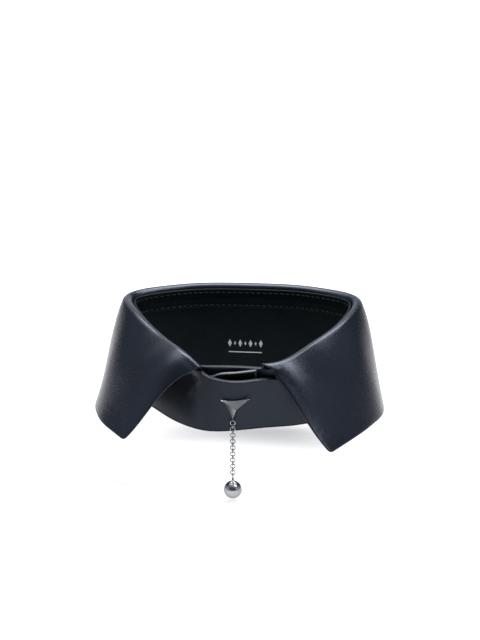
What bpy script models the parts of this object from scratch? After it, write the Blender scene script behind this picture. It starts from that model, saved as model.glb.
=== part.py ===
"""Detachable leather shirt collar worn as a necklace, with a triangle stud, a fine chain and a ball.

The collar keeps the round form it has on a neck, with nobody in it. Lengths are in millimetres in the
tables and become metres when a mesh is made. +X is the wearer's left, -Y is the front, +Z is up, and
the origin is the middle of the neck opening, level with the back of the foot edge.
"""
import math
from collections import namedtuple

import bmesh
import bpy
import numpy as np
from mathutils import Matrix, Vector

MM = 0.001

# Walls of the leather pieces, and the gap kept at every seam; the tape's seam is the looser one
BAND_WALL = 1.2
LINING_WALL = 1.2
LEAF_WALL = 1.4
TAPE_WALL = 1.0
TAB_WALL = 2.2
SEAM_GAP = 0.3
TAPE_GAP = 0.4

# The leaf is sewn inside the band's top edge, rolls over it and falls outside
ROLL_RADIUS = 2.5
SEWN_DEPTH = 5.0
TAPE_RISE = 0.6
TAPE_WIDTH = 11.0

# How far each layer's middle lies outside (+) or inside (-) the middle of the band's wall
LINING_OFFSET = -(BAND_WALL / 2 + SEAM_GAP + LINING_WALL / 2)
LEAF_OFFSET = -(BAND_WALL / 2 + SEAM_GAP + LEAF_WALL / 2)
TAPE_OFFSET = LEAF_OFFSET - LEAF_WALL / 2 - TAPE_GAP - TAPE_WALL / 2
ROLL_OFFSET = LEAF_OFFSET + ROLL_RADIUS

# Mesh steps along and across the leather
COLUMN_STEP = 6.0
BAND_ROWS = 4
TAPE_ROWS = 3
ROLL_STEPS = 6
FALL_STEPS = 6
LINING_STEP_LENGTH = 3.0

# The band is one strip, from the end that laps over the front, round the neck, to the end tucked under it
WallRow = namedtuple("WallRow", "name top_x top_y top_z foot_x foot_y foot_z")
WALL = (
    WallRow("overlap_end", 43.2, -38.8, 30.2, 42.3, -38.6, 2.2),
    WallRow("overlap_right", 31.5, -48.2, 31.4, 32.8, -43.8, 2.4),
    WallRow("overlap_middle", 18.3, -51.6, 31.6, 19.6, -47.9, 2.5),
    WallRow("overlap_front", 4.0, -56.4, 31.1, 4.6, -52.2, 2.0),
    WallRow("overlap_left", -8.2, -53.2, 31.3, -8.6, -53.6, 1.2),
    WallRow("overlap_root", -15.2, -50.3, 33.0, -15.8, -52.0, 1.0),
    WallRow("left_start", -19.1, -48.6, 36.2, -20.2, -49.7, 1.1),
    WallRow("left_front", -42.1, -21.3, 41.8, -45.8, -27.0, 3.1),
    WallRow("left_side", -59.9, 2.2, 47.7, -59.5, -1.0, 1.0),
    WallRow("left_corner", -66.7, 25.9, 48.6, -63.0, 26.0, 0.0),
    WallRow("left_back", -38.5, 45.7, 48.9, -36.8, 42.0, 0.0),
    WallRow("centre_back", 0.0, 48.9, 49.8, 0.0, 45.2, 0.0),
    WallRow("right_back", 39.2, 45.7, 49.7, 37.4, 42.2, 0.0),
    WallRow("right_corner", 63.4, 28.5, 50.3, 60.6, 26.8, 0.0),
    WallRow("right_side", 59.5, 1.5, 47.4, 59.0, -1.5, 1.0),
    WallRow("right_front", 43.6, -22.8, 41.4, 44.0, -26.0, 2.0),
    WallRow("right_start", 20.6, -47.8, 36.6, 20.0, -43.4, 2.0),
    WallRow("underlap_root", 16.8, -46.9, 36.0, 16.2, -42.9, 1.9),
    WallRow("underlap_right", 9.6, -45.2, 35.7, 9.4, -42.0, 1.7),
    WallRow("underlap_front", -0.6, -44.6, 35.5, -0.5, -41.6, 1.5),
    WallRow("underlap_left", -15.5, -43.2, 34.6, -15.5, -42.6, 1.5),
    WallRow("underlap_end", -23.5, -37.6, 33.0, -23.5, -38.0, 2.0),
)

# Free edge of the leaf, at the wall row of the same name; bow is how far the fall swells outwards.
# The leaf's two ends pass left_start and right_start towards the front by LEAF_REACH. The fall stands up
# from the fold by SHOULDER_REST, more towards either end, with a short curl at the end itself, and the
# front edges bow towards the middle.
LEAF_REACH = 3.0
SHOULDER_REST = math.radians(7.0)
SHOULDERS = (math.radians(20.0), math.radians(12.0))
SHOULDER_REACH = 38.0
CURLS = (math.radians(6.0), math.radians(-13.0))
CURL_REACH = 9.0
FRONT_BOWS = (1.3, 2.7)
BOW_REACH = 14.0
BOW_START = 0.08
LeafRow = namedtuple("LeafRow", "name edge_x edge_y edge_z bow")
LEAF = (
    LeafRow("left_start", -57.6, -62.1, -3.0, -0.2),
    LeafRow("left_front", -76.3, -32.0, -2.8, 0.7),
    LeafRow("left_side", -82.3, -2.1, -3.7, 0.2),
    LeafRow("left_corner", -77.4, 30.9, -3.9, 0.4),
    LeafRow("left_back", -41.0, 51.5, -4.1, 1.0),
    LeafRow("centre_back", 0.0, 56.0, -4.1, 1.1),
    LeafRow("right_back", 41.0, 51.5, -4.1, 1.0),
    LeafRow("right_corner", 74.5, 30.3, -4.1, 0.5),
    LeafRow("right_side", 82.3, -1.6, -3.7, 0.6),
    LeafRow("right_front", 75.9, -29.7, -2.4, 0.6),
    LeafRow("right_start", 56.6, -69.7, -2.3, -0.6),
)

# Fastening tab, sewn inside the overlap on the wearer's right, its square end free on the wearer's left
TabRow = namedtuple("TabRow", "name x top_y top_z foot_y foot_z")
TAB = (
    TabRow("root", -15.0, -46.6, 32.0, -46.9, 19.0),
    TabRow("dip", -10.8, -48.2, 30.9, -48.3, 19.0),
    TabRow("lip", -6.5, -49.3, 32.1, -49.3, 19.0),
    TabRow("middle", 3.2, -49.2, 33.9, -48.6, 20.0),
    TabRow("square_end", 14.0, -48.6, 35.7, -47.4, 21.0),
)
TAB_COLUMNS = 9
TAB_ROWS = 3

# Triangle stud: a low three-sided point with hollowed sides, one corner down
STUD_LEFT = (-7.8, 4.4)
STUD_RIGHT = (9.4, 5.4)
STUD_LOW = (-1.9, -8.8)
STUD_HOLLOW = 1.3
STUD_RIM = 0.9
STUD_POINT = 5.0
STUD_CENTRE_X = 3.2
STUD_CENTRE_Z = 17.1
STUD_PEAK_SIDE = 0.6
STUD_PEAK_DOWN = 0.0
STUD_TURN = math.radians(2.5)
STUD_STANDOFF = 0.4
STUD_SIDE_STEPS = 6

# Chain: an eye fixed to the stud's lower corner, round links turned edge on and face on by turns, a ball
LINK_OUTER = 3.05
LINK_WIRE = 0.55
LINK_PITCH = 1.84
LINK_COUNT = 16
LINK_RING_STEPS = 12
LINK_WIRE_STEPS = 6
EYE_X = 2.1
EYE_Y = -55.9
EYE_Z = 7.4
BALL_RADIUS = 5.0
BALL_NECK_LENGTH = 1.7
BALL_NECK_RADIUS = 0.75
BALL_SEGMENTS = 20
BALL_RINGS = 12


def principled(name, colour, roughness, metallic=0.0):
    material = bpy.data.materials.new(name)
    material.use_nodes = True
    shader = material.node_tree.nodes["Principled BSDF"]
    shader.inputs["Base Color"].default_value = (*colour, 1.0)
    shader.inputs["Roughness"].default_value = roughness
    shader.inputs["Metallic"].default_value = metallic
    return material


def add_object(name, mesh, material):
    mesh.materials.append(material)
    mesh.shade_smooth()
    mesh.set_sharp_from_angle(angle=math.radians(35))
    piece = bpy.data.objects.new(name, mesh)
    bpy.context.scene.collection.objects.link(piece)
    return piece


def add_tool(name, mesh):
    """A shape that only joins or cuts another; it is no piece of its own."""
    tool = bpy.data.objects.new(name, mesh)
    bpy.context.scene.collection.objects.link(tool)
    tool.hide_render = True
    tool.display_type = "WIRE"
    return tool


def smooth_curve(stations, values, at):
    """Cubic curve through a table's rows, read at any stations."""
    slopes = np.gradient(values, stations, axis=0)
    row = np.clip(np.searchsorted(stations, at, side="right") - 1, 0, len(stations) - 2)
    span = (stations[row + 1] - stations[row])[:, None]
    t = (at - stations[row])[:, None] / span
    start = (2 * t**3 - 3 * t**2 + 1) * values[row] + (t**3 - 2 * t**2 + t) * span * slopes[row]
    end = (3 * t**2 - 2 * t**3) * values[row + 1] + (t**3 - t**2) * span * slopes[row + 1]
    return start + end


def unit(vectors):
    return vectors / np.linalg.norm(vectors, axis=-1, keepdims=True)


def smooth_step(share):
    share = min(max(share, 0.0), 1.0)
    return share * share * (3.0 - 2.0 * share)


WALL_TOP = np.array([(row.top_x, row.top_y, row.top_z) for row in WALL])
WALL_FOOT = np.array([(row.foot_x, row.foot_y, row.foot_z) for row in WALL])
WALL_STEPS = np.linalg.norm(np.diff(WALL_TOP[:, :2], axis=0), axis=1)
WALL_STATIONS = np.concatenate([[0.0], np.cumsum(WALL_STEPS)])


def station(name):
    return float(WALL_STATIONS[[row.name for row in WALL].index(name)])


def columns_between(*stops):
    """Stations a column step apart that hit each stop."""
    parts = [np.array(stops[:1])]
    for low, high in zip(stops[:-1], stops[1:]):
        count = max(1, round((high - low) / COLUMN_STEP))
        parts.append(np.linspace(low, high, count + 1)[1:])
    return np.concatenate(parts)


def wall_frame(at):
    """Top points, foot points, direction up the wall and level outward direction at stations."""
    top = smooth_curve(WALL_STATIONS, WALL_TOP, at)
    foot = smooth_curve(WALL_STATIONS, WALL_FOOT, at)
    step = 0.5
    ahead = smooth_curve(WALL_STATIONS, WALL_TOP, at + step)
    behind = smooth_curve(WALL_STATIONS, WALL_TOP, at - step)
    along = unit((ahead - behind) * (1.0, 1.0, 0.0))
    outward = np.stack([-along[:, 1], along[:, 0], np.zeros(len(at))], axis=-1)
    return top, foot, unit(top - foot), outward


def wall_grid(at, top_drop, rows, foot_drop=None):
    """Points on the band's middle surface, from top_drop below the top edge to foot_drop or the foot."""
    top, foot, up, _ = wall_frame(at)
    height = np.linalg.norm(top - foot, axis=1)
    start = np.broadcast_to(top_drop, height.shape)
    end = height if foot_drop is None else np.broadcast_to(foot_drop, height.shape)
    share = np.linspace(0.0, 1.0, rows)
    drops = start[:, None] + (end - start)[:, None] * share
    return top[:, None] - up[:, None] * drops[:, :, None]


def moved_out(grid, at, distance):
    """The grid moved along its own surface normals, outwards when distance is positive."""
    along = np.gradient(grid, at, axis=0)
    down = np.gradient(grid, axis=1)
    return grid + unit(np.cross(along, down)) * distance


def leather(name, grid, at, wall, material):
    """A sheet of leather: outer and inner skins half a wall either side of the grid, joined all round."""
    columns, rows = grid.shape[:2]
    count = columns * rows
    skins = [moved_out(grid, at, side * wall / 2) for side in (1, -1)]
    points = np.concatenate([skin.reshape(-1, 3) for skin in skins]) * MM
    faces = []
    for i in range(columns - 1):
        for j in range(rows - 1):
            first = i * rows + j
            for half in ((first, first + rows, first + rows + 1), (first, first + rows + 1, first + 1)):
                faces.append(half)
                faces.append(tuple(count + corner for corner in reversed(half)))
    top_edge = [i * rows for i in range(columns)]
    last_edge = [(columns - 1) * rows + j for j in range(rows)]
    foot_edge = [i * rows + rows - 1 for i in reversed(range(columns))]
    first_edge = list(reversed(range(rows)))
    for edge in (top_edge, last_edge, foot_edge, first_edge):
        for one, two in zip(edge[:-1], edge[1:]):
            faces.append((two, one, count + one, count + two))
    mesh = bpy.data.meshes.new(name)
    mesh.from_pydata(points.tolist(), [], faces)
    return add_object(name, mesh, material)


def leaf_grid(at):
    """Middle surface of the leaf: the sewn strip, the roll over the band, and the fall to the edge."""
    top, _, up, outward = wall_frame(at)
    names = [row.name for row in LEAF]
    stations = np.array([station(name) for name in names])
    stations[0] -= LEAF_REACH
    stations[-1] += LEAF_REACH
    edges = np.array([(row.edge_x, row.edge_y, row.edge_z, row.bow) for row in LEAF])
    edge = smooth_curve(stations, edges, at)
    centre = top + outward * ROLL_OFFSET
    reach = edge[:, :3] - centre
    level = reach * (1.0, 1.0, 0.0)
    direction = unit(level)
    facing = (direction * outward).sum(axis=1)
    across = direction / facing[:, None]
    reach_out = np.linalg.norm(level, axis=1) * facing
    reach_up = reach[:, 2]
    upward = np.array((0.0, 0.0, 1.0))

    lean = (up * outward).sum(axis=1)
    first_angle = math.pi - np.arctan2(lean, up[:, 2])
    far = np.hypot(reach_out, reach_up)
    past_left, past_right = at - stations[0], stations[-1] - at
    shoulder = SHOULDER_REST * np.ones(len(at))
    for past, steep, curl in zip((past_left, past_right), SHOULDERS, CURLS):
        shoulder += steep * np.exp(-((past / SHOULDER_REACH) ** 2))
        shoulder += curl * np.exp(-((past / CURL_REACH) ** 2))
    bow = FRONT_BOWS[1] * np.exp(-((past_right / BOW_REACH) ** 2))
    bow -= FRONT_BOWS[0] * np.exp(-((past_left / BOW_REACH) ** 2))
    forward = np.stack([outward[:, 1], -outward[:, 0], np.zeros(len(at))], axis=-1)
    last_angle = np.arctan2(reach_up, reach_out) + np.arccos(ROLL_RADIUS / far) + shoulder

    rows = []
    for step in range(ROLL_STEPS + 1):
        angle = first_angle + (last_angle - first_angle) * step / ROLL_STEPS
        out = ROLL_RADIUS * np.cos(angle)
        rise = ROLL_RADIUS * np.sin(angle)
        turned = (1.0 + np.cos(angle)) / (1.0 + np.cos(last_angle))
        swing = outward + (across - outward) * turned[:, None]
        rows.append(centre + swing * out[:, None] + upward * rise[:, None])
    rows.insert(0, rows[0] - up * SEWN_DEPTH)

    fall_out = reach_out - out
    fall_up = reach_up - rise
    length = np.hypot(fall_out, fall_up)
    lead_out = np.sin(last_angle) * length * 0.3
    lead_up = -np.cos(last_angle) * length * 0.3
    for step in range(1, FALL_STEPS + 1):
        t = step / FALL_STEPS
        swell = 6.75 * edge[:, 3] * t * t * (1.0 - t)
        near, late = 3 * t * (1.0 - t) ** 2, t * t * (3 * (1.0 - t) * 0.67 + t)
        across_now = out + near * lead_out + late * fall_out - swell * fall_up / length
        up_now = rise + near * lead_up + late * fall_up + swell * fall_out / length
        ahead = (bow * smooth_step(t / BOW_START) * (1.0 - t))[:, None]
        rows.append(centre + across * across_now[:, None] + upward * up_now[:, None] + forward * ahead)
    return np.stack(rows, axis=1)


def make_band(at, material):
    return leather("neck_band", wall_grid(at, 0.0, BAND_ROWS), at, BAND_WALL, material)


def make_lining(at, material):
    """Inner skin of the band; where the leaf is sewn in, it stops below the sewn strip."""
    low = station("left_start") - LEAF_REACH - 2 * SEAM_GAP
    high = station("right_start") + LEAF_REACH + 2 * SEAM_GAP
    inside = np.minimum(at - low, high - at) / LINING_STEP_LENGTH + 1.0
    drop = np.clip(inside, 0.0, 1.0) * (SEWN_DEPTH + SEAM_GAP)
    grid = wall_grid(at, drop, BAND_ROWS)
    return leather("neck_lining", moved_out(grid, at, LINING_OFFSET), at, LINING_WALL, material)


def make_tape(at, material):
    grid = wall_grid(at, -TAPE_RISE, TAPE_ROWS, TAPE_WIDTH - TAPE_RISE)
    return leather("neck_tape", moved_out(grid, at, TAPE_OFFSET), at, TAPE_WALL, material)


def make_tab(material):
    tops = np.array([(row.x, row.top_y, row.top_z) for row in TAB])
    feet = np.array([(row.x, row.foot_y, row.foot_z) for row in TAB])
    at = np.linspace(tops[-1, 0], tops[0, 0], TAB_COLUMNS)
    top = smooth_curve(tops[:, 0], tops, at)
    foot = smooth_curve(tops[:, 0], feet, at)
    share = np.linspace(0.0, 1.0, TAB_ROWS)[None, :, None]
    grid = top[:, None] + (foot - top)[:, None] * share
    return leather("closure_tab", grid, -at, TAB_WALL, material)


def ring_mesh(name, outer, wire, face_on):
    """A round link of round wire in the XZ plane (face on) or the YZ plane (edge on)."""
    mesh = bpy.data.meshes.new(name)
    shape = bmesh.new()
    radius = (outer - wire) / 2 * MM
    section = bmesh.ops.create_circle(shape, segments=LINK_WIRE_STEPS, radius=wire / 2 * MM)
    turn = Matrix.Rotation(math.radians(90), 3, "X")
    bmesh.ops.rotate(shape, verts=section["verts"], matrix=turn)
    bmesh.ops.translate(shape, verts=section["verts"], vec=(radius, 0.0, 0.0))
    edges = list({edge for vert in section["verts"] for edge in vert.link_edges})
    bmesh.ops.spin(shape, geom=section["verts"] + edges, cent=(0, 0, 0), axis=(0, 0, 1),
                   angle=math.radians(360), steps=LINK_RING_STEPS, use_merge=True)
    bmesh.ops.remove_doubles(shape, verts=shape.verts, dist=1e-7)
    stand = Matrix.Rotation(math.radians(90), 3, "X" if face_on else "Y")
    bmesh.ops.rotate(shape, verts=shape.verts, matrix=stand)
    bmesh.ops.recalc_face_normals(shape, faces=shape.faces)
    shape.to_mesh(mesh)
    shape.free()
    return mesh


def stud_outline():
    """Corners and hollowed sides of the stud, in its own plane with Y up, from the top left round."""
    left, right, low = Vector(STUD_LEFT), Vector(STUD_RIGHT), Vector(STUD_LOW)
    points = []
    for start, end in ((left, low), (low, right), (right, left)):
        side = end - start
        inward = Vector((-side.y, side.x)).normalized()
        for step in range(STUD_SIDE_STEPS):
            t = step / STUD_SIDE_STEPS
            points.append(start + side * t + inward * STUD_HOLLOW * 4 * t * (1 - t))
    return points


def make_stud(material):
    """The triangle, standing just off the band, joined to the eye at its lower corner."""
    mesh = bpy.data.meshes.new("stud_triangle")
    shape = bmesh.new()
    outline = stud_outline()
    back = [shape.verts.new((p.x * MM, p.y * MM, 0.0)) for p in outline]
    rim = [shape.verts.new((p.x * MM, p.y * MM, STUD_RIM * MM)) for p in outline]
    peak = shape.verts.new((STUD_PEAK_SIDE * MM, -STUD_PEAK_DOWN * MM, STUD_POINT * MM))
    shape.faces.new(list(reversed(back)))
    for i in range(len(outline)):
        j = (i + 1) % len(outline)
        shape.faces.new((back[i], back[j], rim[j], rim[i]))
        shape.faces.new((rim[i], rim[j], peak))
    bmesh.ops.recalc_face_normals(shape, faces=shape.faces)
    shape.to_mesh(mesh)
    shape.free()
    stud = add_object("stud_triangle", mesh, material)
    stud.matrix_world = stud_placement()

    eye = add_tool("stud_eye", ring_mesh("stud_eye", LINK_OUTER, LINK_WIRE, face_on=True))
    eye.location = Vector((EYE_X, EYE_Y, EYE_Z)) * MM
    union = stud.modifiers.new("eye", "BOOLEAN")
    union.operation = "UNION"
    union.object = eye


def overlap_point(side, climb):
    """Point on the middle of the overlap's wall, so far to the side of the stud's middle and above it."""
    at = np.linspace(station("overlap_end"), station("left_start"), 400)
    top, foot, _, _ = wall_frame(at)
    share = (STUD_CENTRE_Z + climb - foot[:, 2]) / (top[:, 2] - foot[:, 2])
    line = foot + (top - foot) * share[:, None]
    return Vector(line[int(np.argmin(abs(line[:, 0] - STUD_CENTRE_X - side)))])


def stud_placement():
    """The stud's plane stands just off the band's outside, its Y axis up the wall."""
    half = 5.2
    middle = overlap_point(0.0, 0.0)
    x_axis = (overlap_point(half, 0.0) - overlap_point(-half, 0.0)).normalized()
    climb = overlap_point(0.0, half) - overlap_point(0.0, -half)
    z_axis = x_axis.cross(climb).normalized()
    y_axis = z_axis.cross(x_axis)
    frame = Matrix((x_axis, y_axis, z_axis)).transposed().to_4x4()
    frame = frame @ Matrix.Rotation(STUD_TURN, 4, "Z")
    frame.translation = (middle + z_axis * (BAND_WALL / 2 + STUD_STANDOFF)) * MM
    return frame


def link_place(number):
    return Vector((EYE_X, EYE_Y, EYE_Z - LINK_PITCH * number)) * MM


def make_chain(material):
    """Links hang from the eye; each one's origin is where its wire bears on the link above."""
    pivot = Vector((0.0, 0.0, LINK_PITCH / 2 * MM))
    meshes = {}
    for face_on in (True, False):
        mesh = ring_mesh("link_face" if face_on else "link_edge", LINK_OUTER, LINK_WIRE, face_on)
        mesh.transform(Matrix.Translation(-pivot))
        mesh.materials.append(material)
        mesh.shade_smooth()
        meshes[face_on] = mesh
    for number in range(1, LINK_COUNT + 1):
        link = bpy.data.objects.new(f"chain_link_{number:02d}", meshes[number % 2 == 0])
        bpy.context.scene.collection.objects.link(link)
        link.location = link_place(number) + pivot


def make_ball(material):
    """Polished ball with a short neck and an edge-on eye, one solid that turns on the last link."""
    eye_centre = link_place(LINK_COUNT + 1)
    ring_low = LINK_OUTER / 2
    pivot = eye_centre + Vector((0.0, 0.0, LINK_PITCH / 2 * MM))
    ball_drop = LINK_PITCH / 2 + ring_low + BALL_NECK_LENGTH + BALL_RADIUS
    mesh = bpy.data.meshes.new("pendant_ball")
    shape = bmesh.new()
    bmesh.ops.create_uvsphere(shape, u_segments=BALL_SEGMENTS, v_segments=BALL_RINGS, radius=BALL_RADIUS * MM)
    bmesh.ops.translate(shape, verts=shape.verts, vec=(0.0, 0.0, -ball_drop * MM))
    shape.to_mesh(mesh)
    shape.free()
    ball = add_object("pendant_ball", mesh, material)
    ball.location = pivot

    neck_mesh = bpy.data.meshes.new("ball_neck")
    shape = bmesh.new()
    neck_top = -ring_low + LINK_WIRE * 0.5
    neck_low = -ring_low - BALL_NECK_LENGTH - BALL_RADIUS * 0.2
    bmesh.ops.create_cone(shape, cap_ends=True, segments=10, radius1=BALL_NECK_RADIUS * MM,
                          radius2=BALL_NECK_RADIUS * 0.8 * MM, depth=(neck_top - neck_low) * MM)
    shape.to_mesh(neck_mesh)
    shape.free()
    neck = add_tool("ball_neck", neck_mesh)
    neck.location = eye_centre + Vector((0.0, 0.0, (neck_top + neck_low) / 2 * MM))
    neck.rotation_euler.z = math.pi / BALL_SEGMENTS
    eye = add_tool("ball_eye", ring_mesh("ball_eye", LINK_OUTER, LINK_WIRE, face_on=False))
    eye.location = eye_centre
    for part in (neck, eye):
        union = ball.modifiers.new(part.name, "BOOLEAN")
        union.operation = "UNION"
        union.object = part


def main():
    for old in list(bpy.data.objects):
        bpy.data.objects.remove(old, do_unlink=True)
    black = principled("black_leather", (0.012, 0.014, 0.019), 0.42)
    fall = principled("fall_leather", (0.014, 0.017, 0.023), 0.42)
    inner = principled("lining_leather", (0.010, 0.013, 0.012), 0.55)
    tape = principled("tape_leather", (0.008, 0.009, 0.010), 0.5)
    tab = principled("tab_leather", (0.011, 0.012, 0.015), 0.4)
    steel = principled("polished_steel", (0.62, 0.62, 0.64), 0.12, 1.0)

    left = station("left_start") - LEAF_REACH
    right = station("right_start") + LEAF_REACH
    ends = (0.0, float(WALL_STATIONS[-1]))
    leaf_columns = columns_between(left, right)
    lap = columns_between(ends[0], left - 2 * SEAM_GAP - LINING_STEP_LENGTH, left - 2 * SEAM_GAP)
    tuck = columns_between(right + 2 * SEAM_GAP, right + 2 * SEAM_GAP + LINING_STEP_LENGTH, ends[1])
    wall_columns = np.concatenate([lap, leaf_columns, tuck])

    make_band(wall_columns, black)
    make_lining(wall_columns, inner)
    make_tape(leaf_columns[1:-1], tape)  # it stops one column short of the leaf's ends
    leather("collar_leaf", leaf_grid(leaf_columns), leaf_columns, LEAF_WALL, fall)
    make_tab(tab)
    make_stud(steel)
    make_chain(steel)
    make_ball(steel)


main()
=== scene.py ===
import math

import bmesh
import bpy
import numpy as np
from mathutils import Matrix, Vector


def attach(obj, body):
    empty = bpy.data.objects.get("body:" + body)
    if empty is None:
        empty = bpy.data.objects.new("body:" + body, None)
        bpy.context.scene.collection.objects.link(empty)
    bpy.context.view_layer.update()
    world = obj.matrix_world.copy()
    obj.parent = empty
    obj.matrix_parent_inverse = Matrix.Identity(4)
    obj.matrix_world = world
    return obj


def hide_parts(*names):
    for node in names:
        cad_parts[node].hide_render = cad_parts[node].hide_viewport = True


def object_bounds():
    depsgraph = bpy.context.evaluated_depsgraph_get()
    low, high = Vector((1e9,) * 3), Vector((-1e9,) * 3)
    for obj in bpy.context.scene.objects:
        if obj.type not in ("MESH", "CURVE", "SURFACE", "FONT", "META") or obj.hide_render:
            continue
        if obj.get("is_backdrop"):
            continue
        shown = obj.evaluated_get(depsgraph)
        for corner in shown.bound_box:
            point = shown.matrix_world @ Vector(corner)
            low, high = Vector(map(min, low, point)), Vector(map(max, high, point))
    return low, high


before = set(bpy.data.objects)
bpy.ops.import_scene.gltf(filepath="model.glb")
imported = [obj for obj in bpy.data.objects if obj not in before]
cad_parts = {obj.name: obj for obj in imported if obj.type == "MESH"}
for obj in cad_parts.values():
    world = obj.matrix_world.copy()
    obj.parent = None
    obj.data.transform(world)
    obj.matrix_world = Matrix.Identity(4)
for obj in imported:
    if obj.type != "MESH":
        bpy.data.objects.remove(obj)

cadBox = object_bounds()
mm = 0.001
print("frame loaded:", len(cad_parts), "nodes")

# lengths are in millimetres unless a note says otherwise
# One strip, from the end that laps over the front, round the neck, to the end tucked under it:
# top x, y, z and foot x, y, z of the middle of the outer leather.
# A fitting program worked out most tops from leftStart to rightStart and most of leafRows. They aren't a
# design, and a rule that works the line out from a few sizes should replace them.
standRows = {
    "overlapEnd": (43.2, -38.8, 30.2, 42.3, -38.6, 2.2),
    "overlapRight": (31.5, -48.2, 31.4, 32.8, -43.8, 2.4),
    "overlapMiddle": (18.3, -51.6, 31.6, 19.6, -47.9, 2.5),
    "overlapFront": (4.0, -56.4, 31.1, 4.6, -52.2, 2.0),
    "overlapLeft": (-8.2, -53.2, 31.3, -8.6, -53.6, 1.2),
    "overlapRoot": (-15.2, -50.3, 33.0, -15.8, -52.0, 1.0),
    "leftStart": (-19.1, -48.6, 36.2, -20.2, -49.7, 1.1),
    "leftFront": (-42.1, -21.3, 41.8, -45.8, -27.0, 3.1),
    "leftSide": (-59.9, 2.2, 47.7, -59.5, -1.0, 1.0),
    "leftCorner": (-66.7, 25.9, 48.6, -63.0, 26.0, 0.0),
    "leftBack": (-38.5, 45.7, 48.9, -36.8, 42.0, 0.0),
    "centreBack": (0.0, 48.9, 49.8, 0.0, 45.2, 0.0),
    "rightBack": (39.2, 45.7, 49.7, 37.4, 42.2, 0.0),
    "rightCorner": (63.4, 28.5, 50.3, 60.6, 26.8, 0.0),
    "rightSide": (59.5, 1.5, 47.4, 59.0, -1.5, 1.0),
    "rightFront": (43.6, -22.8, 41.4, 44.0, -26.0, 2.0),
    "rightStart": (20.6, -47.8, 36.6, 20.0, -43.4, 2.0),
    "underlapRoot": (16.8, -46.9, 36.0, 16.2, -42.9, 1.9),
    "underlapRight": (9.6, -45.2, 35.7, 9.4, -42.0, 1.7),
    "underlapFront": (-0.6, -44.6, 35.5, -0.5, -41.6, 1.5),
    "underlapLeft": (-15.5, -43.2, 34.6, -15.5, -42.6, 1.5),
    "underlapEnd": (-23.5, -37.6, 33.0, -23.5, -38.0, 2.0),
}

# free edge x, y, z of the leaf at the stand row of that name, and how far its fall swells outwards
leafRows = {
    "leftStart": (-57.6, -62.1, -3.0, -0.2),
    "leftFront": (-76.3, -32.0, -2.8, 0.7),
    "leftSide": (-82.3, -2.1, -3.7, 0.2),
    "leftCorner": (-77.4, 30.9, -3.9, 0.4),
    "leftBack": (-41.0, 51.5, -4.1, 1.0),
    "centreBack": (0.0, 56.0, -4.1, 1.1),
    "rightBack": (41.0, 51.5, -4.1, 1.0),
    "rightCorner": (74.5, 30.3, -4.1, 0.5),
    "rightSide": (82.3, -1.6, -3.7, 0.6),
    "rightFront": (75.9, -29.7, -2.4, 0.6),
    "rightStart": (56.6, -69.7, -2.3, -0.6),
}

layers = {
    "band": 1.2,
    "lining": 1.2,
    "leaf": 1.4,
    "tape": 1.0,
    "seamGap": 0.3,
    "tapeGap": 0.4,
    "rollRadius": 2.5,
    "sewnDepth": 5.0,
    "tapeRise": 0.6,
    "tapeWidth": 11.0,
    "leafReach": 3.0,  # how far the leaf's two ends pass their rows towards the front
    "shoulders": (13.0, 5.0),  # how steeply the fall stands up from the fold at its left and right end
    "shoulderReach": 38.0,
    "shoulderRest": 14.0,  # and everywhere else
    "curls": (6.0, -13.0),  # added over the last few millimetres at each end
    "curlReach": 9.0,
    "frontBows": (1.3, 2.7),  # how far the leaf's front edges bow towards the middle
    "bowReach": 14.0,
    "bowStart": 0.08,
    "easing": 3.0,  # how far the line's bends are spread along it
    "rimSteps": 4,
    "rimPaint": 1.6,  # how far in from the edge its paint reaches, in half walls
}
# how far each layer's middle lies outside (+) or inside (-) the middle of the outer leather
liningOffset = -(layers["band"] / 2 + layers["seamGap"] + layers["lining"] / 2)
leafOffset = -(layers["band"] / 2 + layers["seamGap"] + layers["leaf"] / 2)
tapeOffset = leafOffset - layers["leaf"] / 2 - layers["tapeGap"] - layers["tape"] / 2
rollOffset = leafOffset + layers["rollRadius"]


def lengthOf(vectors):
    return np.linalg.norm(vectors, axis=-1, keepdims=True)


def unit(vectors):
    return vectors / lengthOf(vectors)


def throughRows(stations, values, at):
    # cubic curve through the rows, straight on past both ends
    slopes = np.gradient(values, stations, axis=0)
    inside = np.clip(at, stations[0], stations[-1])
    row = np.clip(np.searchsorted(stations, inside, side="right") - 1, 0, len(stations) - 2)
    span = (stations[row + 1] - stations[row])[:, None]
    t = (inside - stations[row])[:, None] / span
    start = (2 * t**3 - 3 * t**2 + 1) * values[row] + (t**3 - 2 * t**2 + t) * span * slopes[row]
    end = (3 * t**2 - 2 * t**3) * values[row + 1] + (t**3 - t**2) * span * slopes[row + 1]
    beyond = (at - inside)[:, None]
    return start + end + beyond * np.where(beyond < 0, slopes[0], slopes[-1])


def easedCurve(stations, values):
    # the same curve with its changes of bend spread out, as a function of station
    step = 0.5
    margin = 5 * layers["easing"]
    at = np.arange(stations[0] - 2 * margin, stations[-1] + 2 * margin, step)
    raw = throughRows(stations, values, at)
    reach = int(margin / step)
    weights = np.exp(-0.5 * (np.arange(-reach, reach + 1) * step / layers["easing"]) ** 2)
    weights /= weights.sum()
    smooth = np.stack([np.convolve(column, weights, "same") for column in raw.T], axis=1)
    at, smooth = at[reach:-reach], smooth[reach:-reach]
    return lambda where: np.stack([np.interp(where, at, column) for column in smooth.T], axis=1)


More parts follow.
